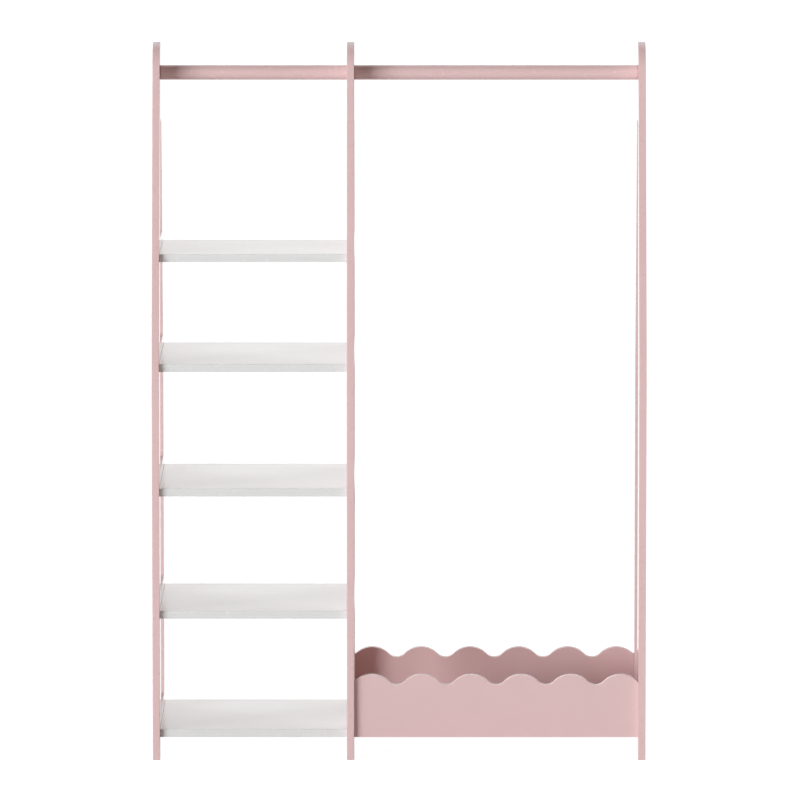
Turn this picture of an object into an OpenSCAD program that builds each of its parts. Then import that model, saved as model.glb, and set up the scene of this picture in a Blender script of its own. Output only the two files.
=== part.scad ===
// Open wardrobe for a child: three arched side frames carry five shelves on the left,
// a scalloped storage box at the lower right and two hanging rods.
// Origin: on the floor, at the middle of the width and of the depth.
// +X is to the right seen from the front, +Y is to the back and +Z is up.

/* [Side frames] */
// Thickness of the side frame boards
frame_t = 15; // [14:1:20]
// Height of the side frames
frame_h = 1445; // [1400:5:1500]
// Depth of the side frames at the floor
frame_d = 400; // [370:5:460]
// Radius of the round head, which the hanging rod is centred on
head_r = 62; // [50:1:68]
// Height of the solid head above the top of the window
head_h = 160; // [140:5:190]
// Height at which the upright legs start to lean inwards
knee_h = 790; // [730:5:800]
// Radius that blends each leg at its knee
knee_r = 400; // [100:50:500]
// Width of a leg below the knee
leg_w = 90; // [60:1:100]
// Width of a leg at the top of the window
leg_top_w = 52; // [38:1:56]
// Radius in the corners of the windows
window_r = 14; // [6:1:20]
// Radius on the corners of the feet
foot_r = 3; // [1:0.5:8]
// How far a rung stands above the shelf that it carries
rung_over = 25; // [15:1:40]
// How far a rung reaches below the shelf that it carries
rung_under = 3; // [0:1:15]

/* [Shelves] */
// Clear width of the shelf bay
shelf_w = 379; // [300:1:500]
// Thickness of the shelves
shelf_t = 16; // [15:1:20]
// How far shelves and box panels stay behind the edges of the frames
edge_setback = 9; // [5:1:16]
// Height of the undersides of the lowest shelf and of the box above the floor
base_h = 46; // [30:1:90]
// Height of the top of shelf 1, the highest one
shelf_1_top = 1026; // [960:1:1080]
// Height of the top of shelf 2
shelf_2_top = 808; // [750:1:860]
// Height of the top of shelf 3
shelf_3_top = 555; // [500:1:610]
// Height of the top of shelf 4
shelf_4_top = 305; // [240:1:360]

/* [Storage box] */
// Clear width of the hanging bay and length of the box
box_w = 576; // [520:1:700]
// Thickness of the front and rear panels
panel_t = 16; // [15:1:20]
// Height of the panels at the crests of their scallops
panel_h = 128; // [120:1:180]
// Thickness of the bottom board
bottom_t = 16; // [15:1:20]
// Number of scallops along a panel
scallops = 6; // [3:1:6]
// Distance from crest to crest
scallop_pitch = 101; // [80:1:104]
// Drop from a crest to the valley beside it
scallop_drop = 21; // [12:1:24]
// Radius of a crest
crest_r = 48; // [38:1:50]

/* [Rods] */
// Diameter of the hanging rods
rod_d = 30; // [26:1:38]
// Diameter of the threaded insert in a rod's end
insert_d = 14; // [12:0.5:16]
// Length of a threaded insert
insert_l = 22; // [18:1:30]
// Thread diameter of the rod bolts and of the joining stud
rod_thread_d = 8; // [6:0.5:9]
// Diameter of a rod bolt's head
rod_head_d = 14; // [12:0.5:18]
// Height of a rod bolt's head
rod_head_h = 3.5; // [2.5:0.5:4]
// Thickness of the cap that closes a rod bolt's counterbore
rod_cap_t = 2; // [1.5:0.5:3]

/* [Joints] */
// Diameter of the cams that draw the joints tight
cam_d = 15; // [12:0.5:18]
// Distance from a board's end to the middle of its cams
cam_inset = 24; // [20:1:34]
// Thread diameter of a cam bolt
bolt_thread_d = 6; // [5:0.5:6.5]
// Length of thread that a cam bolt has in the frame
bolt_thread_l = 10; // [8:0.5:11]
// Shank diameter of a cam bolt
bolt_shank_d = 7; // [6:0.5:7]
// Diameter of the covers that close the cams
cover_d = 18; // [16.5:0.5:22]
// Thickness of the cam covers
cover_t = 0.8; // [0.6:0.1:1.5]
// Diameter of the wooden dowels
dowel_d = 8; // [6:0.5:9]
// Depth of a dowel in the face of a frame or panel
dowel_in_face = 10; // [7:0.5:11]
// Depth of a dowel in the end of a board
dowel_in_end = 20; // [15:1:26]
// Distance from a board's edge to its nearest cam
cam_edge = 60; // [50:1:66]
// Distance from a cam to the dowel beside it
dowel_step = 40; // [34:1:44]
// Height of the lower cam above the underside of a box panel
panel_cam_low = 34; // [26:1:40]
// Height of the upper cam above the underside of a box panel
panel_cam_high = 88; // [70:1:90]
// Running clearance of pins, cams and bolts in their holes, on the radius
fit_gap = 0.1; // [0.05:0.05:0.2]

/* [Hidden] */
$fn = 48;
small_fn = 28;
arc_steps = 6;
pink = [0.86, 0.73, 0.725];
white = [0.94, 0.935, 0.925];
beech = [0.80, 0.65, 0.46];
zinc = [0.70, 0.71, 0.73];

total_w = 3 * frame_t + shelf_w + box_w;
left_x = -total_w / 2;
shelf_x0 = left_x + frame_t;
shelf_x1 = shelf_x0 + shelf_w;
box_x0 = shelf_x1 + frame_t;
box_x1 = box_x0 + box_w;
box_mid_x = (box_x0 + box_x1) / 2;

half_d = frame_d / 2;
rod_h = frame_h - head_r;
window_top = frame_h - head_h;
shelf_5_top = base_h + shelf_t;
shelf_tops = [shelf_1_top, shelf_2_top, shelf_3_top, shelf_4_top, shelf_5_top];
lowest_rung_top = shelf_5_top + rung_over;
lowest_rung_end = base_h - rung_under;

// The leaning edge runs from the knee and is tangent to the round head.
knee = [half_d, knee_h];
to_head = [0, rod_h] - knee;
lean_dir = atan2(to_head.y, to_head.x) - asin(head_r / norm(to_head));
lean = lean_dir - 90;
head_tangent = [0, rod_h] + head_r * [cos(lean), sin(lean)];

// Half depth of a frame's outline at height z, with the blend at the knee
knee_tangent = knee_r * tan(lean / 2);
function half_depth(z) =
    z <= knee_h - knee_tangent ? half_d :
    z < knee_h + knee_tangent * cos(lean) ?
        half_d - knee_r + sqrt(knee_r ^ 2 - (z - knee_h + knee_tangent) ^ 2) :
    half_d - (z - knee_h) * tan(lean);

// Half width of the windows at height z
function leg_width(z) =
    z <= knee_h ? leg_w : leg_w + (leg_top_w - leg_w) * (z - knee_h) / (window_top - knee_h);
function lean_half(z) = z <= knee_h ? half_d : half_d - (z - knee_h) * tan(lean);
function inner_half(z) = lean_half(z) - leg_width(z);

function unit(v) = v / norm(v);
// Points of the arc of radius r that rounds the corner b between a and c
function round_corner(a, b, c, r) =
    let (
        u = unit(a - b), w = unit(c - b), half = acos(u * w) / 2,
        centre = b + unit(u + w) * r / sin(half),
        start = b + u * r / tan(half) - centre,
        stop = b + w * r / tan(half) - centre,
        from = atan2(start.y, start.x),
        turn = atan2(start.x * stop.y - start.y * stop.x, start * stop)
    )
    [for (i = [0 : arc_steps]) centre + r * [cos(from + turn * i / arc_steps), sin(from + turn * i / arc_steps)]];
// An outline from corners, each one [y, z, radius]
function rounded(corners) =
    let (n = len(corners), p = [for (c = corners) [c.x, c.y]])
    [for (i = [0 : n - 1]) each
        corners[i].z > 0 ? round_corner(p[(i + n - 1) % n], p[i], p[(i + 1) % n], corners[i].z) : [p[i]]];

// Corners of one window between two heights
function window_corners(z0, z1) = [
    [-inner_half(z0), z0, window_r],
    [inner_half(z0), z0, window_r],
    if (z0 < knee_h - window_r && z1 > knee_h + window_r) [inner_half(knee_h), knee_h, knee_r / 2],
    [inner_half(z1), z1, window_r],
    [-inner_half(z1), z1, window_r],
    if (z0 < knee_h - window_r && z1 > knee_h + window_r) [-inner_half(knee_h), knee_h, knee_r / 2]
];
// Corners of the board: two feet, the gap between them, and the leaning sides up to the head
board_corners = [
    [-half_d, 0, foot_r],
    [-inner_half(0), 0, foot_r],
    [-inner_half(0), lowest_rung_end, window_r],
    [inner_half(0), lowest_rung_end, window_r],
    [inner_half(0), 0, foot_r],
    [half_d, 0, foot_r],
    [half_d, knee_h, knee_r],
    [head_tangent.x, head_tangent.y, 0],
    [-head_tangent.x, head_tangent.y, 0],
    [-half_d, knee_h, knee_r]
];
// Lower and upper ends of the windows in a frame that carries shelves, and in the one that doesn't
rung_tops = [for (z = shelf_tops) z + rung_over];
rung_ends = [for (z = shelf_tops) z - shelf_t - rung_under];
shelf_windows = [for (i = [0 : 4]) [rung_tops[i], i == 0 ? window_top : rung_ends[i - 1]]];
open_windows = [[lowest_rung_top, window_top]];

// A side frame board with its back face at x = 0
module frame_board(windows)
    rotate([90, 0, 90])
        linear_extrude(frame_t)
            difference() {
                union() {
                    polygon(rounded(board_corners));
                    translate([0, rod_h]) circle(head_r, $fn = 96);
                }
                for (w = windows) polygon(rounded(window_corners(w[0], w[1])));
            }

// Joint geometry, drawn along +X from the face of a frame into the end of a board
cam_h = shelf_t / 2 + 4.5;
panel_cam_h = panel_t / 2 + 4.5;
bottom_cam_h = bottom_t / 2 + 4.5;
head_back = 3;
neck_l = 4;
shank_l = cam_inset - neck_l + 1;
cam_slot_r = bolt_shank_d / 2 + 0.4;
end_hole_l = cam_inset;

module along_x(d, x0, x1) translate([x0, 0, 0]) rotate([0, 90, 0]) cylinder(d = d, h = x1 - x0, $fn = small_fn);
module cam_bolt() {
    along_x(bolt_thread_d, -bolt_thread_l, 0);
    along_x(bolt_shank_d, 0, shank_l - neck_l);
    along_x(bolt_shank_d - 3, shank_l - neck_l, shank_l);
    along_x(bolt_shank_d - 0.6, shank_l, shank_l + head_back);
}
module bolt_face_hole() along_x(bolt_thread_d + 2 * fit_gap, -bolt_thread_l, 1);
module bolt_end_hole() along_x(bolt_shank_d + 2 * fit_gap, -1, end_hole_l);
// A cam with the slot that takes the bolt's head and the recess for the screwdriver
module cam(h)
    difference() {
        cylinder(d = cam_d, h = h);
        translate([0, 0, h - 4.5]) rotate([0, -90, 0]) cylinder(r = cam_slot_r, h = cam_d, $fn = small_fn);
        translate([0, 0, h - 4.5]) sphere(r = cam_slot_r + 0.6, $fn = small_fn);
        for (a = [0, 90]) rotate(a) translate([-4, -0.75, -1]) cube([8, 1.5, 3]);
    }
module cam_hole(h) translate([0, 0, -1]) cylinder(r = cam_d / 2 + fit_gap, h = h + 1);
module dowel() along_x(dowel_d, -dowel_in_face, dowel_in_end);
module dowel_face_hole() along_x(dowel_d + 2 * fit_gap, -dowel_in_face, 1);
module dowel_end_hole() along_x(dowel_d + 2 * fit_gap, -1, dowel_in_end);

// Depth of half a shelf, and the places of its cams and dowels
function shelf_half(i) = half_depth(shelf_tops[i]) - edge_setback;
function shelf_cam_ys(i) = [for (s = [-1, 1]) s * (shelf_half(i) - cam_edge)];
function shelf_dowel_ys(i) = [for (s = [-1, 1]) s * (shelf_half(i) - cam_edge - dowel_step)];
function shelf_mid(i) = shelf_tops[i] - shelf_t / 2;

panel_y = half_d - edge_setback - panel_t / 2;
bottom_half = panel_y - panel_t / 2;
bottom_cam_ys = [for (s = [-1, 1]) s * (bottom_half - cam_edge)];
bottom_dowel_ys = [for (s = [-1, 1]) s * (bottom_half - cam_edge - dowel_step)];
bottom_mid = base_h + bottom_t / 2;
panel_cam_zs = [base_h + panel_cam_low, base_h + panel_cam_high];
panel_dowel_xs = [for (i = [-1 : 1]) box_mid_x + i * box_w / 3];

// Places a joint at x, facing +X or -X
module joint_at(x, turned, y, z) translate([x, y, z]) mirror([turned ? 1 : 0, 0, 0]) children();
// The left end, the right end or both ends of shelf i, at each of the given places
module shelf_ends(i, ys, left = true, right = true)
    for (y = ys) {
        if (left) joint_at(shelf_x0, false, y, shelf_mid(i)) children();
        if (right) joint_at(shelf_x1, true, y, shelf_mid(i)) children();
    }
module bottom_ends(ys, left = true, right = true)
    for (y = ys) {
        if (left) joint_at(box_x0, false, y, bottom_mid) children();
        if (right) joint_at(box_x1, true, y, bottom_mid) children();
    }
module panel_ends(ys, left = true, right = true)
    for (y = ys, z = panel_cam_zs) {
        if (left) joint_at(box_x0, false, y, z) children();
        if (right) joint_at(box_x1, true, y, z) children();
    }
// Along the long edges of the bottom board, where it meets the panels
module bottom_edges(sides)
    for (s = sides, x = panel_dowel_xs)
        translate([x, s * bottom_half, bottom_mid]) rotate(-s * 90) children();

module under_shelf_cam() translate([cam_inset, 0, -shelf_t / 2]) children();
module under_bottom_cam() translate([cam_inset, 0, -bottom_t / 2]) children();
module behind_panel_cam() translate([cam_inset, panel_t / 2, 0]) rotate([90, 0, 0]) children();

module frame_holes_for_shelves(left, right)
    for (i = [0 : 4]) {
        shelf_ends(i, shelf_cam_ys(i), left, right) bolt_face_hole();
        shelf_ends(i, shelf_dowel_ys(i), left, right) dowel_face_hole();
    }
module frame_holes_for_box(left, right) {
    panel_ends([-panel_y, panel_y], left, right) bolt_face_hole();
    bottom_ends(bottom_cam_ys, left, right) bolt_face_hole();
    bottom_ends(bottom_dowel_ys, left, right) dowel_face_hole();
}

// Rod bolt: head in a counterbore, which a cap closes flush with the outer face
rod_counterbore = rod_cap_t + rod_head_h;
module rod_bolt_hole() {
    along_x(rod_head_d + 1, -1, rod_counterbore);
    along_x(rod_thread_d + 4 * fit_gap, 0, frame_t + 1);
}
module rod_bolt() {
    difference() {
        along_x(rod_head_d, rod_cap_t, rod_counterbore);
        translate([rod_cap_t - 1, 0, 0]) rotate([0, 90, 0]) cylinder(d = 5, h = 3, $fn = 6);
    }
    along_x(rod_thread_d, rod_counterbore, frame_t + insert_l);
}

module frame_left()
    color(pink)
        difference() {
            translate([left_x, 0, 0]) frame_board(shelf_windows);
            frame_holes_for_shelves(true, false);
            translate([left_x, 0, rod_h]) rod_bolt_hole();
        }
module frame_middle()
    color(pink)
        difference() {
            translate([shelf_x1, 0, 0]) frame_board(shelf_windows);
            frame_holes_for_shelves(false, true);
            frame_holes_for_box(true, false);
            translate([shelf_x1, 0, rod_h]) along_x(rod_thread_d + 4 * fit_gap, -1, frame_t + 1);
        }
module frame_right()
    color(pink)
        difference() {
            translate([box_x1, 0, 0]) frame_board(open_windows);
            frame_holes_for_box(false, true);
            translate([-left_x, 0, rod_h]) mirror([1, 0, 0]) rod_bolt_hole();
        }

module shelf(i)
    color(white)
        difference() {
            translate([shelf_x0, -shelf_half(i), shelf_tops[i] - shelf_t])
                cube([shelf_w, 2 * shelf_half(i), shelf_t]);
            shelf_ends(i, shelf_cam_ys(i)) {
                bolt_end_hole();
                under_shelf_cam() cam_hole(cam_h);
            }
            shelf_ends(i, shelf_dowel_ys(i)) dowel_end_hole();
        }
module shelf_1() shelf(0);
module shelf_2() shelf(1);
module shelf_3() shelf(2);
module shelf_4() shelf(3);
module shelf_5() shelf(4);

// Scalloped outline of a panel: crest arcs and valley arcs that meet in tangents
join_angle = 2 * atan(scallop_drop / (scallop_pitch / 2));
valley_r = scallop_pitch / 2 / sin(join_angle) - crest_r;
crest_x0 = box_mid_x - scallop_pitch * (scallops - 1) / 2;
arc_step = 5;
function arc_angles(a) = [for (k = [-1 : arc_step / a : 1.001]) k * a];
function crest(x) = [for (a = arc_angles(join_angle))
    [x + crest_r * sin(a), panel_h - crest_r + crest_r * cos(a)]];
function valley(x) = [for (a = arc_angles(join_angle))
    [x + valley_r * sin(a), panel_h - scallop_drop + valley_r - valley_r * cos(a)]];
scallop_points = [for (i = [-1 : scallops]) each
    concat(crest(crest_x0 + i * scallop_pitch), valley(crest_x0 + (i + 0.5) * scallop_pitch))];
module panel_outline()
    intersection() {
        polygon(concat(
            [[crest_x0 - scallop_pitch * 1.5, 0]],
            [[crest_x0 - scallop_pitch * 1.5, panel_h - crest_r]],
            scallop_points,
            [[crest_x0 + scallop_pitch * (scallops + 0.75), panel_h - crest_r]],
            [[crest_x0 + scallop_pitch * (scallops + 0.75), 0]]
        ));
        translate([box_x0, 0]) square([box_w, panel_h]);
    }
module panel(y, side)
    color(pink)
        difference() {
            translate([0, y + panel_t / 2, base_h]) rotate([90, 0, 0]) linear_extrude(panel_t) panel_outline();
            panel_ends([y]) {
                bolt_end_hole();
                behind_panel_cam() cam_hole(panel_cam_h);
            }
            bottom_edges([side]) dowel_face_hole();
        }
module box_front() panel(-panel_y, -1);
module box_rear() panel(panel_y, 1);
module box_bottom()
    color(pink)
        difference() {
            translate([box_x0, -bottom_half, base_h]) cube([box_w, 2 * bottom_half, bottom_t]);
            bottom_ends(bottom_cam_ys) {
                bolt_end_hole();
                under_bottom_cam() cam_hole(bottom_cam_h);
            }
            bottom_ends(bottom_dowel_ys) dowel_end_hole();
            bottom_edges([-1, 1]) dowel_end_hole();
        }

module rod(x0, x1)
    color(pink)
        difference() {
            translate([x0, 0, rod_h]) rotate([0, 90, 0]) cylinder(d = rod_d, h = x1 - x0, $fn = 96);
            translate([x0, 0, rod_h]) along_x(insert_d + 2 * fit_gap, -1, insert_l);
            translate([x1, 0, rod_h]) along_x(insert_d + 2 * fit_gap, -insert_l, 1);
        }
module rod_short() rod(shelf_x0, shelf_x1);
module rod_long() rod(box_x0, box_x1);

module rod_inserts()
    color(zinc)
        for (x = [shelf_x0, shelf_x1 - insert_l, box_x0, box_x1 - insert_l])
            translate([x, 0, rod_h])
                difference() {
                    along_x(insert_d, 0, insert_l);
                    along_x(rod_thread_d + 2 * fit_gap, -1, insert_l + 1);
                }
module rod_bolts()
    color(zinc) {
        translate([left_x, 0, rod_h]) rod_bolt();
        translate([-left_x, 0, rod_h]) mirror([1, 0, 0]) rod_bolt();
    }
module rod_joining_stud()
    color(zinc)
        translate([shelf_x1, 0, rod_h]) along_x(rod_thread_d, -insert_l, frame_t + insert_l);
module rod_bolt_caps()
    color(pink)
        for (x = [left_x, -left_x - rod_cap_t])
            translate([x, 0, rod_h]) along_x(rod_head_d + 1 - 2 * fit_gap, 0, rod_cap_t);

module shelf_cam_bolts() color(zinc) for (i = [0 : 4]) shelf_ends(i, shelf_cam_ys(i)) cam_bolt();
module shelf_cams() color(zinc) for (i = [0 : 4]) shelf_ends(i, shelf_cam_ys(i)) under_shelf_cam() cam(cam_h);
module shelf_cam_covers()
    color(white)
        for (i = [0 : 4])
            shelf_ends(i, shelf_cam_ys(i))
                under_shelf_cam() translate([0, 0, -cover_t]) cylinder(d = cover_d, h = cover_t);
module shelf_dowels() color(beech) for (i = [0 : 4]) shelf_ends(i, shelf_dowel_ys(i)) dowel();

module box_cam_bolts()
    color(zinc) {
        panel_ends([-panel_y, panel_y]) cam_bolt();
        bottom_ends(bottom_cam_ys) cam_bolt();
    }
module box_cams()
    color(zinc) {
        panel_ends([-panel_y, panel_y]) behind_panel_cam() cam(panel_cam_h);
        bottom_ends(bottom_cam_ys) under_bottom_cam() cam(bottom_cam_h);
    }
module box_cam_covers()
    color(pink) {
        panel_ends([-panel_y, panel_y])
            behind_panel_cam() translate([0, 0, -cover_t]) cylinder(d = cover_d, h = cover_t);
        bottom_ends(bottom_cam_ys)
            under_bottom_cam() translate([0, 0, -cover_t]) cylinder(d = cover_d, h = cover_t);
    }
module box_dowels()
    color(beech) {
        bottom_ends(bottom_dowel_ys) dowel();
        bottom_edges([-1, 1]) dowel();
    }

frame_left();
frame_middle();
frame_right();
shelf_1();
shelf_2();
shelf_3();
shelf_4();
shelf_5();
rod_short();
rod_long();
box_front();
box_rear();
box_bottom();
rod_inserts();
rod_bolts();
rod_joining_stud();
rod_bolt_caps();
shelf_cam_bolts();
shelf_cams();
shelf_cam_covers();
shelf_dowels();
box_cam_bolts();
box_cams();
box_cam_covers();
box_dowels();
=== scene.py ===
import math

import bmesh
import bpy
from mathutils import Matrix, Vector


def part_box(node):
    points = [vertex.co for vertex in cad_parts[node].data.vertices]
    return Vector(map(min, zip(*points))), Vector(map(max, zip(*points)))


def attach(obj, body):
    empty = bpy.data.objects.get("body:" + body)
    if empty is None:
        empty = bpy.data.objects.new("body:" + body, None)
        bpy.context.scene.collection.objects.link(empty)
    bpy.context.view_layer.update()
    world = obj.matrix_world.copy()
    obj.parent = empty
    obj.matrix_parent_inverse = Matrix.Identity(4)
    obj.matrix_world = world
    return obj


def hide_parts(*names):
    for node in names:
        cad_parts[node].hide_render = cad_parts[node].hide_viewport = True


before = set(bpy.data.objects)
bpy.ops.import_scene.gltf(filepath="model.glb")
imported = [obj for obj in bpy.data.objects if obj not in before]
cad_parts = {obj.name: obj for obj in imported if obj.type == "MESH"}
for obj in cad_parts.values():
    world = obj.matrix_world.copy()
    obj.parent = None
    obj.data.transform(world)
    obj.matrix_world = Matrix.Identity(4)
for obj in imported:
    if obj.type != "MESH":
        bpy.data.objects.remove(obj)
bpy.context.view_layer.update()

# Places read from the frame, in metres

left_lo, left_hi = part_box("frame_left")
middle_lo, middle_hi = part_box("frame_middle")
right_lo, right_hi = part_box("frame_right")
rod_lo, rod_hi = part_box("rod_short")
panel_lo, panel_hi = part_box("box_front")
bottom_lo, bottom_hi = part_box("box_bottom")
shelf_names = ["shelf_1", "shelf_2", "shelf_3", "shelf_4", "shelf_5"]
shelf_boxes = [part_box(name) for name in shelf_names]
panel_names = ["box_front", "box_rear"]
rod_names = ["rod_short", "rod_long"]

half_depth = left_hi.y
rod_z = (rod_lo.z + rod_hi.z) / 2
head_radius = left_hi.z - rod_z

# Sizes of the side boards that their boxes don't give, in metres

knee_z = 0.790
knee_radius = 0.400
window_knee_radius = knee_radius / 2
leg_width = 0.090
leg_top_width = 0.052
head_height = 0.160
rung_over_shelf = 0.025
rung_under_shelf = 0.003
window_radius = 0.014
foot_radius = 0.003

window_top = left_hi.z - head_height
below_floor = -4 * window_radius
cut_margin = 0.010

# The leaning edge is tangent to the round head

to_head = Vector((-half_depth, rod_z - knee_z))
head_turn = math.asin(head_radius / to_head.length)
lean = math.atan2(to_head.y, to_head.x) - head_turn - math.pi / 2
tangent_y = head_radius * math.cos(lean)
tangent_z = rod_z + head_radius * math.sin(lean)

# Sizes of the scallops, in metres

scallop_count = 6
scallop_pitch = 0.101
scallop_drop = 0.021
crest_radius = 0.048

# Sizes of the joints, in metres

cam_diameter = 0.0152
cam_depth = 0.0125
cam_inset = 0.024
cam_from_edge = 0.060
dowel_from_cam = 0.040
low_panel_cam = 0.034
high_panel_cam = 0.088
thread_hole = 0.0062
thread_depth = 0.010
shank_hole = 0.0072
dowel_hole = 0.0082
dowel_depth_in_end = 0.020
cover_diameter = 0.018
cover_thickness = 0.0008
cap_diameter = 0.0148
cap_thickness = 0.002
counterbore_diameter = 0.015
counterbore_depth = 0.0055
rod_bolt_hole = 0.0084
rod_socket = 0.0142
rod_socket_depth = 0.022

# Sizes of the eased edges, rims and bands, in metres

board_edge = 0.0008
shelf_edge = 0.0006
rod_edge = 0.0012
cover_edge = 0.0002
cover_rim = 0.0012
cover_dish = 0.0002
cap_edge = 0.0004
cap_rim = 0.0016
cap_dish = 0.0004
band_thickness = 0.0010

# How finely round shapes are divided

head_steps = 48
knee_steps = 10
window_knee_steps = 6
window_corner_steps = 6
foot_corner_steps = 4
scallop_step = math.radians(4.5)
rod_sides = 96
cap_sides = 48
seat_sides = 48
drill_sides = 24

# What counts as the same place, as flat, as an edge, and as along or across a direction

tiny = 0.00005
flat_angle = math.radians(0.5)
edge_angle = math.radians(35)
mostly = 0.9
hardly = 0.1


# Modelling helpers


def deselect():
    bpy.ops.object.select_all(action="DESELECT")


def activate(obj):
    deselect()
    obj.select_set(True)
    bpy.context.view_layer.objects.active = obj


def settle(obj):
    """Puts an object's place, turn and scale in its mesh."""
    activate(obj)
    bpy.ops.object.transform_apply(location=True, rotation=True, scale=True)
    return obj


def start_block(name, lo, hi):
    """A cube primitive between two corners."""
    lo, hi = Vector(lo), Vector(hi)
    deselect()
    bpy.ops.mesh.primitive_cube_add(size=1, location=(lo + hi) / 2, scale=hi - lo)
    block = bpy.context.object
    block.name = block.data.name = name
    return settle(block)


def start_round(name, start, end, diameter, sides):
    """A cylinder primitive from one point to another."""
    start, end = Vector(start), Vector(end)
    turn = (end - start).to_track_quat("Z", "Y").to_euler()
    deselect()
    bpy.ops.mesh.primitive_cylinder_add(
        vertices=sides, radius=diameter / 2, depth=(end - start).length,
        location=(start + end) / 2, rotation=turn,
    )
    bar = bpy.context.object
    bar.name = bar.data.name = name
    return settle(bar)


def enter(obj, mode):
    """Opens obj for editing in one select mode, with nothing selected."""
    activate(obj)
    bpy.ops.object.mode_set(mode="EDIT")
    bpy.ops.mesh.select_mode(type=mode)
    bpy.ops.mesh.select_all(action="DESELECT")


def leave():
    bpy.ops.object.mode_set(mode="OBJECT")


def pick(obj, kind, test):
    """Selects only the verts, edges or faces of obj that pass the test."""
    bpy.ops.mesh.select_all(action="DESELECT")
    mesh = bmesh.from_edit_mesh(obj.data)
    for item in getattr(mesh, kind):
        if test(item):
            item.select_set(True)
    mesh.select_flush_mode()
    bmesh.update_edit_mesh(obj.data)


def middle_of(item):
    """The middle of an edge or a face."""
    points = [v.co for v in item.verts]
    return sum(points, Vector()) / len(points)


def runs_along_x(edge):
    along = edge.verts[1].co - edge.verts[0].co
    return abs(along.x) > mostly * along.length


def faces_up(face):
    return face.normal.z > mostly


def put_in_order(obj):
    """Numbers edges and faces by their distance from the origin, so that every run goes on alike."""
    enter(obj, "FACE")
    bpy.ops.mesh.select_all(action="SELECT")
    bpy.ops.mesh.sort_elements(type="CURSOR_DISTANCE", elements={"EDGE", "FACE"})
    leave()


def apply_modifier(obj, kind, **settings):
    activate(obj)
    modifier = obj.modifiers.new(kind.title(), kind)
    for key, value in settings.items():
        setattr(modifier, key, value)
    bpy.ops.object.modifier_apply(modifier=modifier.name)


def join(objects, name):
    deselect()
    for obj in objects:
        obj.select_set(True)
    bpy.context.view_layer.objects.active = objects[0]
    bpy.ops.object.join()
    joined = bpy.context.object
    joined.name = joined.data.name = name
    return joined


def cut_away(obj, cutters):
    """Takes the cutters' volume out of obj and deletes them."""
    cutter = join(cutters, obj.name + "_cutter")
    apply_modifier(obj, "BOOLEAN", operation="DIFFERENCE", object=cutter, solver="EXACT")
    bpy.data.objects.remove(cutter)


def paint(obj, materials):
    for material in materials:
        obj.data.materials.append(material)


def repaint(obj, index, test):
    """Gives the faces that pass the test the material at that index."""
    enter(obj, "FACE")
    pick(obj, "faces", test)
    obj.active_material_index = index
    bpy.ops.object.material_slot_assign()
    leave()


def ease_edges(obj, width, segments=3, eased_material=-1):
    apply_modifier(
        obj, "BEVEL", width=width, segments=segments, limit_method="ANGLE",
        angle_limit=edge_angle, material=eased_material,
    )


def smooth(obj):
    activate(obj)
    bpy.ops.object.shade_smooth_by_angle(angle=edge_angle)
    apply_modifier(obj, "WEIGHTED_NORMAL", keep_sharp=True)


def drill(start, end, diameter):
    """A drill bit from one point to another, to be cut away."""
    return start_round("drill", start, end, diameter, drill_sides)


def dress(piece, *nodes, slot):
    """Smooths a finished piece, gives it its body, and hides the CAD nodes that it stands for. The slot is
    not used.
    """
    smooth(piece)
    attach(piece, "root")
    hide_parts(*nodes)


# Places of the joints


def pair(half):
    return (-half, half)


def shelf_cam_ys(box):
    return pair(box[1].y - cam_from_edge)


def shelf_dowel_ys(box):
    return pair(box[1].y - cam_from_edge - dowel_from_cam)


def mid_z(box):
    return (box[0].z + box[1].z) / 2


bottom_box = (bottom_lo, bottom_hi)
panel_ys = pair(-(panel_lo.y + panel_hi.y) / 2)
panel_cam_zs = (panel_lo.z + low_panel_cam, panel_lo.z + high_panel_cam)
panel_dowel_step = (panel_hi.x - panel_lo.x) / 3
panel_middle = (panel_lo.x + panel_hi.x) / 2
panel_dowel_xs = [panel_middle + i * panel_dowel_step for i in (-1, 0, 1)]

shelf_bolts = [(y, mid_z(box)) for box in shelf_boxes for y in shelf_cam_ys(box)]
shelf_dowels = [(y, mid_z(box)) for box in shelf_boxes for y in shelf_dowel_ys(box)]
bottom_bolts = [(y, mid_z(bottom_box)) for y in shelf_cam_ys(bottom_box)]
bottom_dowels = [(y, mid_z(bottom_box)) for y in shelf_dowel_ys(bottom_box)]
box_bolts = bottom_bolts + [(y, z) for y in panel_ys for z in panel_cam_zs]


def face_holes(x, inward, bolts, dowels):
    """Drill bits for the holes in the face of a side board at x, for bolts and dowels."""
    bits = []
    for places, diameter in ((bolts, thread_hole), (dowels, dowel_hole)):
        for y, z in places:
            start, end = x - inward * cut_margin, x + inward * thread_depth
            bits.append(drill((start, y, z), (end, y, z), diameter))
    return bits


def end_holes(lo, hi, places, diameter, depth):
    """Drill bits for the holes in both ends of a board."""
    bits = []
    for x, inward in ((lo.x, 1), (hi.x, -1)):
        for y, z in places:
            start, end = x - inward * cut_margin, x + inward * depth
            bits.append(drill((start, y, z), (end, y, z), diameter))
    return bits


def cam_xs(lo, hi):
    """Where the cams sit along a board, near its two ends."""
    return (lo.x + cam_inset, hi.x - cam_inset)


# Side boards


def half_at(z):
    """Half depth of the board's outline at height z, with a sharp knee."""
    return half_depth if z <= knee_z else half_depth - (z - knee_z) * math.tan(lean)


def window_half_at(z):
    """Half depth of the windows at height z, where the upright beside them narrows above the knee."""
    share = max(0.0, (z - knee_z) / (window_top - knee_z))
    return half_at(z) - leg_width - (leg_top_width - leg_width) * share


def squeeze(z, share):
    """Narrows what is selected in depth, about the middle plane at height z."""
    bpy.ops.transform.resize(value=(1, share, 1), center_override=(0, 0, z))


def raise_selected(z):
    bpy.ops.mesh.extrude_region_move(TRANSFORM_OT_translate={"value": (0, 0, z)})


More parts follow.
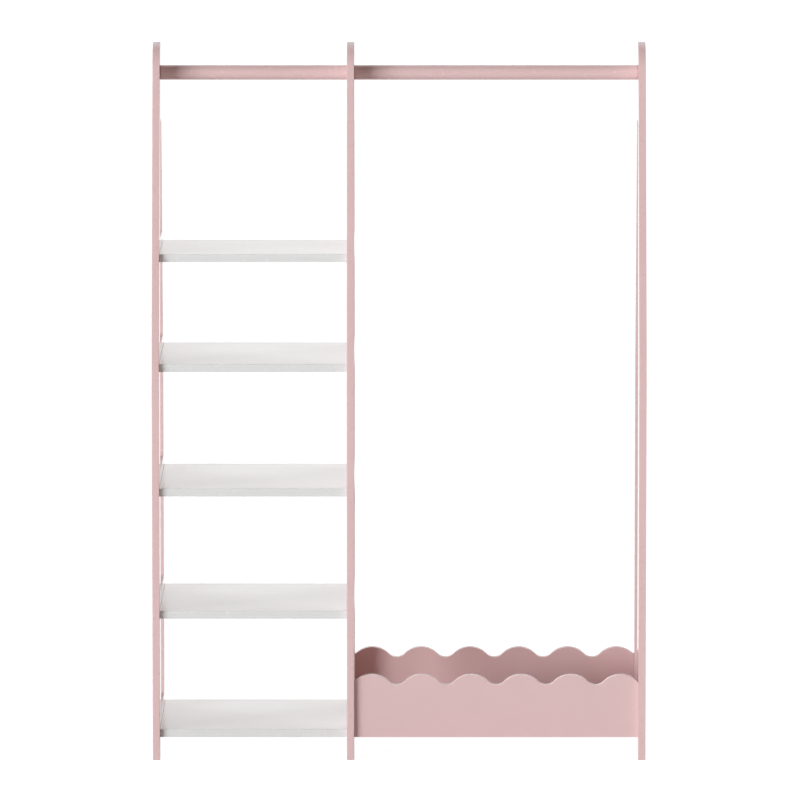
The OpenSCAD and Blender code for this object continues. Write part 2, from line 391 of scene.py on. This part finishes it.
def bevel_along_x(obj, test, offset, segments):
    """Rounds the edges along X that pass the test."""
    pick(obj, "edges", lambda e: runs_along_x(e) and test(middle_of(e)))
    bpy.ops.mesh.bevel(offset=offset, segments=segments, affect="EDGES")


def window_cutter(x0, x1, z0, z1):
    """A block with the outline of one window, wider than the board."""
    low, high = window_half_at(max(z0, 0)), window_half_at(z1)
    bends = z0 < knee_z - window_radius and z1 > knee_z + window_radius
    first_z = knee_z if bends else z1
    block = start_block("window_cutter", (x0, -low, z0), (x1, low, first_z))
    enter(block, "FACE")
    if bends:
        pick(block, "faces", faces_up)
        raise_selected(z1 - knee_z)
    pick(block, "faces", lambda f: faces_up(f) and middle_of(f).z > first_z - tiny)
    squeeze(z1, high / low)
    bevel_along_x(block, lambda p: abs(p.z - knee_z) > tiny, window_radius, window_corner_steps)
    if bends:
        knee_offset = window_knee_radius * math.tan(lean / 2)
        bevel_along_x(block, lambda p: abs(p.z - knee_z) < tiny, knee_offset, window_knee_steps)
    leave()
    return block


def board_blank(name, lo, hi):
    """The arched board without its windows: uprights, leaning part and round head."""
    board = start_block(name, lo, (hi.x, hi.y, knee_z))
    enter(board, "FACE")
    pick(board, "faces", faces_up)
    raise_selected(tangent_z - knee_z)
    squeeze(tangent_z, tangent_y / half_depth)
    bpy.ops.mesh.delete(type="ONLY_FACE")
    bpy.ops.mesh.select_mode(type="EDGE")
    pick(board, "edges", lambda e: runs_along_x(e)
         and middle_of(e).z > tangent_z - tiny and middle_of(e).y > 0)
    bpy.ops.mesh.spin(
        steps=head_steps, angle=math.pi - 2 * lean, center=(lo.x, 0, rod_z), axis=(-1, 0, 0),
    )
    bpy.ops.mesh.select_all(action="SELECT")
    bpy.ops.mesh.remove_doubles(threshold=tiny)
    for side in (lo.x, hi.x):
        pick(board, "edges", lambda e: e.is_boundary and abs(middle_of(e).x - side) < tiny)
        bpy.ops.mesh.edge_face_add()
    bpy.ops.mesh.select_all(action="SELECT")
    bpy.ops.mesh.normals_make_consistent(inside=False)
    knee_offset = knee_radius * math.tan(lean / 2)
    bevel_along_x(board, lambda p: abs(p.z - knee_z) < tiny, knee_offset, knee_steps)
    leave()
    return board


def side_board(name, window_spans, holes, bolt_from):
    """One side board: blank, windows, foot gap, eased edges, and the holes drilled last."""
    lo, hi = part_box(name)
    board = board_blank(name + "_board", lo, hi)
    paint(board, [pink_face, pink_eased_wear_and_painted_highlight, pink_cut])
    x0, x1 = lo.x - cut_margin, hi.x + cut_margin
    cutters = [window_cutter(x0, x1, z0, z1) for z0, z1 in window_spans]
    rung_end = shelf_boxes[-1][0].z - rung_under_shelf
    cutters.append(window_cutter(x0, x1, below_floor, rung_end))
    cut_away(board, cutters)
    enter(board, "EDGE")
    bevel_along_x(board, lambda p: p.z < tiny, foot_radius, foot_corner_steps)
    bpy.ops.mesh.select_all(action="SELECT")
    bpy.ops.mesh.dissolve_limited(angle_limit=flat_angle)
    leave()
    ease_edges(board, board_edge, eased_material=1)
    repaint(board, 2, lambda f: abs(f.normal.x) < hardly)
    bits = list(holes)
    bits.append(drill((x0, 0, rod_z), (x1, 0, rod_z), rod_bolt_hole))
    cut_away(board, bits)
    if bolt_from:
        face = lo.x if bolt_from < 0 else hi.x
        start, end = face + bolt_from * cut_margin, face - bolt_from * counterbore_depth
        seat = start_round(
            "seat", (start, 0, rod_z), (end, 0, rod_z), counterbore_diameter, seat_sides,
        )
        cut_away(board, [seat])
    dress(board, name, slot="pink_paint")


def spans_between_rungs():
    """The lower and upper end of each window beside the shelves."""
    tops = [window_top] + [lo.z - rung_under_shelf for lo, hi in shelf_boxes[:-1]]
    return [(hi.z + rung_over_shelf, top) for (lo, hi), top in zip(shelf_boxes, tops)]


# Shelves


def shelf(name):
    """A laminated board with eased edges, banded front and back, with its holes drilled."""
    box = lo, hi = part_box(name)
    board = start_block(name + "_board", lo, hi)
    paint(board, [white_laminate_painted_top_light, white_band])
    ease_edges(board, shelf_edge)
    enter(board, "FACE")
    for y in (lo.y + band_thickness, hi.y - band_thickness):
        bpy.ops.mesh.select_all(action="SELECT")
        bpy.ops.mesh.bisect(plane_co=(0, y, 0), plane_no=(0, 1, 0))
    leave()
    repaint(board, 1, lambda f: abs(middle_of(f).y) > hi.y - band_thickness)
    bolts = [(y, mid_z(box)) for y in shelf_cam_ys(box)]
    dowels = [(y, mid_z(box)) for y in shelf_dowel_ys(box)]
    cut_away(board, end_holes(lo, hi, bolts, shank_hole, cam_inset)
             + end_holes(lo, hi, dowels, dowel_hole, dowel_depth_in_end))
    cut_away(board, under_cams(lo, hi))
    dress(board, name, slot="white_board")


def under_cams(lo, hi):
    """Drill bits for the cam pockets in the underside of a board."""
    return [
        drill((x, y, lo.z - cut_margin), (x, y, lo.z + cam_depth), cam_diameter)
        for x in cam_xs(lo, hi) for y in shelf_cam_ys((lo, hi))
    ]


# Storage box


def scallop_chain(y):
    """Spins one vertex through every valley and crest, which leaves a wavy chain of edges."""
    join_angle = 2 * math.atan(scallop_drop / (scallop_pitch / 2))
    valley_radius = scallop_pitch / 2 / math.sin(join_angle) - crest_radius
    crest_z = panel_hi.z - crest_radius
    valley_z = panel_hi.z - scallop_drop + valley_radius
    start_x = panel_middle - scallop_pitch * scallop_count / 2
    deselect()
    bpy.ops.mesh.primitive_plane_add(size=tiny, location=(start_x, y, valley_z - valley_radius))
    chain = settle(bpy.context.object)
    enter(chain, "VERT")
    bpy.ops.mesh.select_all(action="SELECT")
    bpy.ops.mesh.merge(type="CENTER")
    turns = [(start_x, valley_z, -join_angle)]
    for i in range(scallop_count):
        turns.append((start_x + (i + 0.5) * scallop_pitch, crest_z, 2 * join_angle))
        turns.append((start_x + (i + 1) * scallop_pitch, valley_z, -2 * join_angle))
    for x, z, angle in turns:
        steps = round(abs(angle) / scallop_step)
        bpy.ops.mesh.spin(steps=steps, angle=angle, center=(x, y, z), axis=(0, -1, 0))
    leave()
    return chain


def scalloped_panel(name):
    """A panel of the box, drawn from its wavy top edge, with its holes drilled."""
    lo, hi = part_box(name)
    panel = scallop_chain(lo.y)
    panel.name = panel.data.name = name + "_panel"
    enter(panel, "EDGE")
    bpy.ops.mesh.select_all(action="SELECT")
    raise_selected(lo.z - hi.z)
    bpy.ops.transform.resize(value=(1, 1, 0), center_override=(0, 0, lo.z))
    for x, inner in ((lo.x, True), (hi.x, False)):
        bpy.ops.mesh.select_all(action="SELECT")
        bpy.ops.mesh.bisect(
            plane_co=(x, 0, 0), plane_no=(1, 0, 0), clear_inner=inner, clear_outer=not inner,
        )
    bpy.ops.mesh.select_all(action="SELECT")
    bpy.ops.mesh.extrude_region_move(TRANSFORM_OT_translate={"value": (0, hi.y - lo.y, 0)})
    leave()
    put_in_order(panel)
    enter(panel, "FACE")
    bpy.ops.mesh.select_all(action="SELECT")
    bpy.ops.mesh.normals_make_consistent(inside=False)
    bpy.ops.mesh.dissolve_limited(angle_limit=flat_angle)
    leave()
    paint(panel, [pink_face, pink_eased_wear_and_painted_highlight, pink_cut])
    ease_edges(panel, board_edge, eased_material=1)
    put_in_order(panel)
    repaint(panel, 2, lambda f: abs(f.normal.y) < hardly)
    y = (lo.y + hi.y) / 2
    inner_y = hi.y if y < 0 else lo.y
    inward = -1 if y < 0 else 1
    bits = end_holes(lo, hi, [(y, z) for z in panel_cam_zs], shank_hole, cam_inset)
    for x in panel_dowel_xs:
        start = (x, inner_y - inward * cut_margin, mid_z(bottom_box))
        end = (x, inner_y + inward * thread_depth, mid_z(bottom_box))
        bits.append(drill(start, end, dowel_hole))
    cut_away(panel, bits)
    cut_away(panel, [
        drill((x, hi.y + cut_margin, z), (x, hi.y - cam_depth, z), cam_diameter)
        for x in cam_xs(lo, hi) for z in panel_cam_zs
    ])
    dress(panel, name, slot="pink_paint")


def bottom_board():
    """The painted board between the panels, with its holes drilled."""
    lo, hi = bottom_box
    board = start_block("box_bottom_board", lo, hi)
    paint(board, [pink_face, pink_eased_wear_and_painted_highlight])
    ease_edges(board, shelf_edge, eased_material=1)
    bits = end_holes(lo, hi, bottom_bolts, shank_hole, cam_inset)
    bits += end_holes(lo, hi, bottom_dowels, dowel_hole, dowel_depth_in_end)
    for x in panel_dowel_xs:
        for y, inward in ((lo.y, 1), (hi.y, -1)):
            start = (x, y - inward * cut_margin, mid_z(bottom_box))
            end = (x, y + inward * dowel_depth_in_end, mid_z(bottom_box))
            bits.append(drill(start, end, dowel_hole))
    cut_away(board, bits)
    cut_away(board, under_cams(lo, hi))
    dress(board, "box_bottom", slot="pink_paint")


# Rods


def rod(name):
    """A painted round bar with eased ends and a socket in each end."""
    lo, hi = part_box(name)
    start, end = (lo.x, 0, rod_z), (hi.x, 0, rod_z)
    bar = start_round(name + "_bar", start, end, hi.z - lo.z, rod_sides)
    paint(bar, [pink_rod, pink_eased_wear_and_painted_highlight])
    ease_edges(bar, rod_edge, eased_material=1)
    cut_away(bar, end_holes(lo, hi, [(0, rod_z)], rod_socket, rod_socket_depth))
    dress(bar, name, slot="pink_paint")


# Covers and caps


def flat_cap(name, diameter, thickness, edge, rim, dish, material):
    """A round cap lying under the origin: eased rim, and a dished face with a pry notch."""
    cap = start_round(name, (0, 0, 0), (0, 0, -thickness), diameter, cap_sides)
    paint(cap, [material])
    enter(cap, "FACE")
    pick(cap, "faces", lambda f: abs(middle_of(f).z + thickness) < tiny)
    bpy.ops.mesh.inset(thickness=rim)
    bpy.ops.mesh.inset(thickness=dish)
    bpy.ops.transform.translate(value=(0, 0, dish))
    leave()
    ease_edges(cap, edge, segments=2)
    notch = start_block(
        "notch", (diameter / 2 - rim, -rim / 2, -thickness - edge), (diameter, rim / 2, -thickness + dish),
    )
    cut_away(cap, [notch])
    return cap


def set_of_caps(name, cap, places):
    """Copies of the cap at every place, each with its own mesh, joined into one piece."""
    copies = []
    for place, turn in places:
        copy = cap.copy()
        copy.data = cap.data.copy()
        bpy.context.collection.objects.link(copy)
        copy.location = place
        copy.rotation_euler = turn
        copies.append(settle(copy))
    bpy.data.objects.remove(cap)
    return join(copies, name)


facing_down = (0, 0, 0)
facing_back = (math.pi / 2, 0, 0)
facing_left = (0, math.pi / 2, 0)
facing_right = (0, -math.pi / 2, 0)


def under_board(lo, hi):
    """Places of the covers over the cams in a board's underside."""
    return [((x, y, lo.z), facing_down) for x in cam_xs(lo, hi) for y in shelf_cam_ys((lo, hi))]


def behind_panels():
    """Places of the covers over the cams in the back of each panel."""
    places = []
    for name in panel_names:
        lo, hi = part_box(name)
        places += [((x, hi.y, z), facing_back) for x in cam_xs(lo, hi) for z in panel_cam_zs]
    return places


# Materials


def add_node(tree, kind, **settings):
    node = tree.nodes.new(kind)
    for key, value in settings.items():
        setattr(node, key, value)
    return node


def start_material(name, roughness, metallic=0):
    """A material with only its shader, and the place on the object that its patterns read."""
    material = bpy.data.materials.new(name)
    material.use_nodes = True
    tree = material.node_tree
    shader = tree.nodes["Principled BSDF"]
    shader.inputs["Roughness"].default_value = roughness
    shader.inputs["Metallic"].default_value = metallic
    place = add_node(tree, "ShaderNodeTexCoord").outputs["Object"]
    return material, tree, shader, place


def stretched(tree, place, scale):
    mapping = add_node(tree, "ShaderNodeMapping")
    mapping.inputs["Scale"].default_value = scale
    tree.links.new(place, mapping.inputs["Vector"])
    return mapping.outputs["Vector"]


def speckle(tree, place, per_metre, detail=2):
    """Soft random pattern with about that many features to the metre."""
    noise = add_node(tree, "ShaderNodeTexNoise")
    noise.inputs["Scale"].default_value = per_metre
    noise.inputs["Detail"].default_value = detail
    tree.links.new(place, noise.inputs["Vector"])
    return noise.outputs[0]


def tones(tree, shader, pattern, dark, light):
    """Colours the surface between two close tones."""
    spread = 0.15
    ramp = add_node(tree, "ShaderNodeValToRGB")
    low, high = ramp.color_ramp.elements
    low.position, high.position = 0.5 - spread, 0.5 + spread
    low.color, high.color = (*dark, 1), (*light, 1)
    tree.links.new(pattern, ramp.inputs[0])
    tree.links.new(ramp.outputs["Color"], shader.inputs["Base Color"])


def gloss(tree, shader, pattern, low, high):
    """Varies the roughness between two values, over the middle part of the pattern's range."""
    pattern_low, pattern_high = 0.3, 0.7
    reach = add_node(tree, "ShaderNodeMapRange")
    reach.inputs["From Min"].default_value = pattern_low
    reach.inputs["From Max"].default_value = pattern_high
    reach.inputs["To Min"].default_value = low
    reach.inputs["To Max"].default_value = high
    tree.links.new(pattern, reach.inputs["Value"])
    tree.links.new(reach.outputs[0], shader.inputs["Roughness"])


def relief(tree, shader, height, depth):
    """Raises the surface by the pattern, up to depth in metres."""
    bump = add_node(tree, "ShaderNodeBump")
    bump.inputs["Distance"].default_value = depth
    bump.inputs["Strength"].default_value = 1
    tree.links.new(height, bump.inputs["Height"])
    tree.links.new(bump.outputs["Normal"], shader.inputs["Normal"])


def satin_paint(name, dark, light, rough_low, rough_high, peel, peel_depth, grain=(1, 1, 1)):
    """Sprayed paint: faint clouds of tone, uneven gloss, and orange peel that grain stretches.

    The peel is in bumps to the metre.
    """
    material, tree, shader, place = start_material(name, rough_low)
    tones(tree, shader, speckle(tree, place, per_metre=9, detail=3), dark, light)
    gloss(tree, shader, speckle(tree, place, per_metre=60), rough_low, rough_high)
    relief(tree, shader, speckle(tree, stretched(tree, place, grain), peel), peel_depth)
    return material


def laminate(name, dark, light, rough_low, rough_high):
    """Melamine with a fine pearl texture."""
    material, tree, shader, place = start_material(name, rough_low)
    tones(tree, shader, speckle(tree, place, per_metre=14, detail=3), dark, light)
    gloss(tree, shader, speckle(tree, place, per_metre=90), rough_low, rough_high)
    relief(tree, shader, speckle(tree, place, per_metre=900, detail=1), depth=0.0000015)
    return material


def moulded_plastic(name, dark, light):
    """Matt plastic with the fine grain of its mould."""
    material, tree, shader, place = start_material(name, roughness=0.45)
    tones(tree, shader, speckle(tree, place, per_metre=120), dark, light)
    gloss(tree, shader, speckle(tree, place, per_metre=400), low=0.4, high=0.55)
    relief(tree, shader, speckle(tree, place, per_metre=2500), depth=0.00002)
    return material


def zinc_plate(name):
    """Zinc-plated steel with fine turning marks round the X axis."""
    material, tree, shader, place = start_material(name, roughness=0.35, metallic=1)
    clouds = speckle(tree, place, per_metre=300, detail=3)
    tones(tree, shader, clouds, dark=(0.56, 0.57, 0.60), light=(0.74, 0.75, 0.77))
    gloss(tree, shader, speckle(tree, place, per_metre=500, detail=3), low=0.25, high=0.45)
    marks = speckle(tree, stretched(tree, place, (1, 0.1, 0.1)), per_metre=4000)
    relief(tree, shader, marks, depth=0.00002)
    return material


def beech_wood(name):
    """Turned beech with fine fibres along the X axis and short dark flecks."""
    material, tree, shader, place = start_material(name, roughness=0.6)
    fibres = speckle(tree, stretched(tree, place, (0.06, 1, 1)), per_metre=1400, detail=4)
    tones(tree, shader, fibres, dark=(0.50, 0.31, 0.16), light=(0.68, 0.47, 0.28))
    gloss(tree, shader, fibres, low=0.5, high=0.7)
    relief(tree, shader, fibres, depth=0.00005)
    return material


pink_face = satin_paint(
    "pink_face_paint", dark=(0.722, 0.516, 0.514), light=(0.734, 0.526, 0.524),
    rough_low=0.05, rough_high=0.08, peel=380, peel_depth=0.000001,
)
pink_cut = satin_paint(
    "pink_cut_edge_paint", dark=(0.720, 0.515, 0.512), light=(0.736, 0.528, 0.526),
    rough_low=0.26, rough_high=0.34, peel=700, peel_depth=0.000003,
)
# Eased edges a little lighter than the faces: thin paint on the edges, and a painted highlight along them.
pink_eased_wear_and_painted_highlight = satin_paint(
    "pink_edge_paint_wear_and_painted_highlight", dark=(0.730, 0.526, 0.522), light=(0.756, 0.550, 0.546),
    rough_low=0.24, rough_high=0.36, peel=260, peel_depth=0.000004,
)
pink_rod = satin_paint(
    "pink_rod_paint", dark=(0.722, 0.516, 0.513), light=(0.734, 0.526, 0.524),
    rough_low=0.24, rough_high=0.28, peel=420, peel_depth=0.000002, grain=(0.3, 1, 1),
)
# The shelf tops are a lighter white than the front and back bands: painted light on the tops, which stand
# for more light falling on them than on the fronts.
white_laminate_painted_top_light = laminate(
    "white_laminate_painted_top_light", dark=(0.834, 0.848, 0.837), light=(0.844, 0.858, 0.847),
    rough_low=0.19, rough_high=0.21,
)
white_band = laminate(
    "white_edge_band", dark=(0.744, 0.764, 0.758), light=(0.752, 0.772, 0.766),
    rough_low=0.24, rough_high=0.28,
)
white_plastic = moulded_plastic(
    "white_cover_plastic", dark=(0.66, 0.66, 0.65), light=(0.70, 0.70, 0.69),
)
pink_plastic = moulded_plastic(
    "pink_cover_plastic", dark=(0.65, 0.44, 0.43), light=(0.69, 0.48, 0.47),
)
zinc = zinc_plate("zinc_plated_steel")
beech = beech_wood("beech_dowel_wood")

# The wardrobe

shelf_rungs = spans_between_rungs()
open_side = [(shelf_boxes[-1][1].z + rung_over_shelf, window_top)]
side_board("frame_left", shelf_rungs, face_holes(left_hi.x, -1, shelf_bolts, shelf_dowels), -1)
side_board(
    "frame_middle", shelf_rungs,
    face_holes(middle_lo.x, 1, shelf_bolts, shelf_dowels)
    + face_holes(middle_hi.x, -1, box_bolts, bottom_dowels), 0,
)
side_board("frame_right", open_side, face_holes(right_lo.x, 1, box_bolts, bottom_dowels), 1)
for shelf_name in shelf_names:
    shelf(shelf_name)
for panel_name in panel_names:
    scalloped_panel(panel_name)
bottom_board()
for rod_name in rod_names:
    rod(rod_name)

white_cover = flat_cap(
    "white_cover", cover_diameter, cover_thickness, cover_edge, cover_rim, cover_dish, white_plastic,
)
pink_cover = flat_cap(
    "pink_cover", cover_diameter, cover_thickness, cover_edge, cover_rim, cover_dish, pink_plastic,
)
bolt_cap = flat_cap("bolt_cap", cap_diameter, cap_thickness, cap_edge, cap_rim, cap_dish, pink_plastic)
white_places = [place for box in shelf_boxes for place in under_board(*box)]
dress(
    set_of_caps("shelf_cam_cover_set", white_cover, white_places),
    "shelf_cam_covers", slot="white_cover",
)
dress(
    set_of_caps("box_cam_cover_set", pink_cover, under_board(*bottom_box) + behind_panels()),
    "box_cam_covers", slot="pink_cover",
)
cap_places = [
    ((left_lo.x + cap_thickness, 0, rod_z), facing_left),
    ((right_hi.x - cap_thickness, 0, rod_z), facing_right),
]
dress(
    set_of_caps("rod_bolt_cap_pair", bolt_cap, cap_places), "rod_bolt_caps", slot="pink_cover",
)

hidden_metal = (
    "rod_inserts", "rod_bolts", "rod_joining_stud", "shelf_cam_bolts", "shelf_cams",
    "box_cam_bolts", "box_cams",
)
for node_name in hidden_metal:
    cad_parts[node_name].material_slots[0].material = zinc
for node_name in ("shelf_dowels", "box_dowels"):
    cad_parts[node_name].material_slots[0].material = beech

# Floor

floor_half = 200
floor_drop = 0.0002
floor_tone = 0.9
shadow_depth = 0.3
floor_glow = 0.96


def seen_directly(tree):
    """1 where the camera, a reflection or a clear part looks, and 0 where light is gathered."""
    path = add_node(tree, "ShaderNodeLightPath")
    total = path.outputs["Is Camera Ray"]
    for name in ("Is Glossy Ray", "Is Transmission Ray"):
        either = add_node(tree, "ShaderNodeMath", operation="MAXIMUM")
        tree.links.new(total, either.inputs[0])
        tree.links.new(path.outputs[name], either.inputs[1])
        total = either.outputs[0]
    return total


def studio_paper():
    """Pale matt paper that looks white in the picture and still takes a soft shadow."""
    material = bpy.data.materials.new("studio_paper")
    material.use_nodes = True
    tree = material.node_tree
    tree.nodes.clear()
    lit = add_node(tree, "ShaderNodeBsdfDiffuse")
    lit.inputs["Color"].default_value = (floor_tone, floor_tone, floor_tone, 1)
    shown = add_node(tree, "ShaderNodeBsdfDiffuse")
    shown.inputs["Color"].default_value = (shadow_depth, shadow_depth, shadow_depth, 1)
    glow = add_node(tree, "ShaderNodeEmission")
    glow.inputs["Strength"].default_value = floor_glow
    both = add_node(tree, "ShaderNodeAddShader")
    mix = add_node(tree, "ShaderNodeMixShader")
    output = add_node(tree, "ShaderNodeOutputMaterial")
    tree.links.new(shown.outputs[0], both.inputs[0])
    tree.links.new(glow.outputs[0], both.inputs[1])
    tree.links.new(seen_directly(tree), mix.inputs[0])
    tree.links.new(lit.outputs[0], mix.inputs[1])
    tree.links.new(both.outputs[0], mix.inputs[2])
    tree.links.new(mix.outputs[0], output.inputs["Surface"])
    return material


deselect()
bpy.ops.mesh.primitive_plane_add(size=2 * floor_half, location=(0, 0, -floor_drop))
floor = settle(bpy.context.object)
floor.name = "floor"
paint(floor, [studio_paper()])

# Light


def studio_world():
    """A white room that shows, also in reflections, but leaves the lighting to the lamps."""
    world = bpy.data.worlds.new("studio")
    world.use_nodes = True
    tree = world.node_tree
    background = tree.nodes["Background"]
    background.inputs["Color"].default_value = (1, 1, 1, 1)
    tree.links.new(seen_directly(tree), background.inputs["Strength"])
    return world


lamp_distance = 120
neutral = (1, 1, 1)
warm = (1, 0.62, 0.44)
cool = (0.955, 0.975, 1)


def far_lamp(name, bearing, half_width, low, high, brightness, tint):
    """A big soft lamp, far off so that it lights the whole width evenly.

    All angles are in degrees. The bearing goes from the front towards the left side, and low and
    high are the heights of the lamp's lower and upper edge above the horizon.
    """
    turn = math.radians(bearing)
    low_z = lamp_distance * math.tan(math.radians(low))
    high_z = lamp_distance * math.tan(math.radians(high))
    data = bpy.data.lights.new(name, "AREA")
    data.shape = "RECTANGLE"
    data.size = 2 * lamp_distance * math.tan(math.radians(half_width))
    data.size_y = high_z - low_z
    data.energy = brightness * math.pi * data.size * data.size_y
    data.color = tint
    lamp = bpy.data.objects.new(name, data)
    bpy.context.collection.objects.link(lamp)
    lamp.location = (
        -lamp_distance * math.sin(turn), -lamp_distance * math.cos(turn), (low_z + high_z) / 2,
    )
    lamp.rotation_euler = (math.pi / 2, 0, -turn)
    lamp.visible_camera = False


bpy.context.scene.world = studio_world()
far_lamp("key", bearing=48, half_width=16, low=0, high=12, brightness=24.7, tint=cool)
far_lamp("key_side", bearing=66, half_width=11, low=0, high=40, brightness=2.9, tint=neutral)
far_lamp("front_fill", bearing=-28, half_width=14, low=0, high=30, brightness=1.2, tint=warm)
far_lamp("rear_fill", bearing=180, half_width=40, low=0, high=50, brightness=0.31, tint=neutral)
far_lamp("rear_high", bearing=180, half_width=50, low=30, high=65, brightness=1.2, tint=neutral)
far_lamp("right_rear", bearing=-115, half_width=20, low=0, high=40, brightness=1.3, tint=neutral)

# Camera

camera_distance = 17.6
camera_side = 0.008
camera_turn = math.radians(0.02)
camera_height = 2.967
camera_pitch = math.radians(7.221)
focal_pixels = 8786
picture_pixels = 800
sensor_width = 36
view_end = 500
camera_data = bpy.data.cameras.new("camera")
camera = bpy.data.objects.new("camera", camera_data)
bpy.context.collection.objects.link(camera)
camera.location = (camera_side, -half_depth - camera_distance, camera_height)
camera.rotation_euler = (math.pi / 2 - camera_pitch, 0, camera_turn)
camera_data.sensor_width = sensor_width
camera_data.lens = focal_pixels * sensor_width / picture_pixels
camera_data.clip_end = view_end
bpy.context.scene.camera = camera
bpy.context.scene.view_settings.view_transform = "Standard"
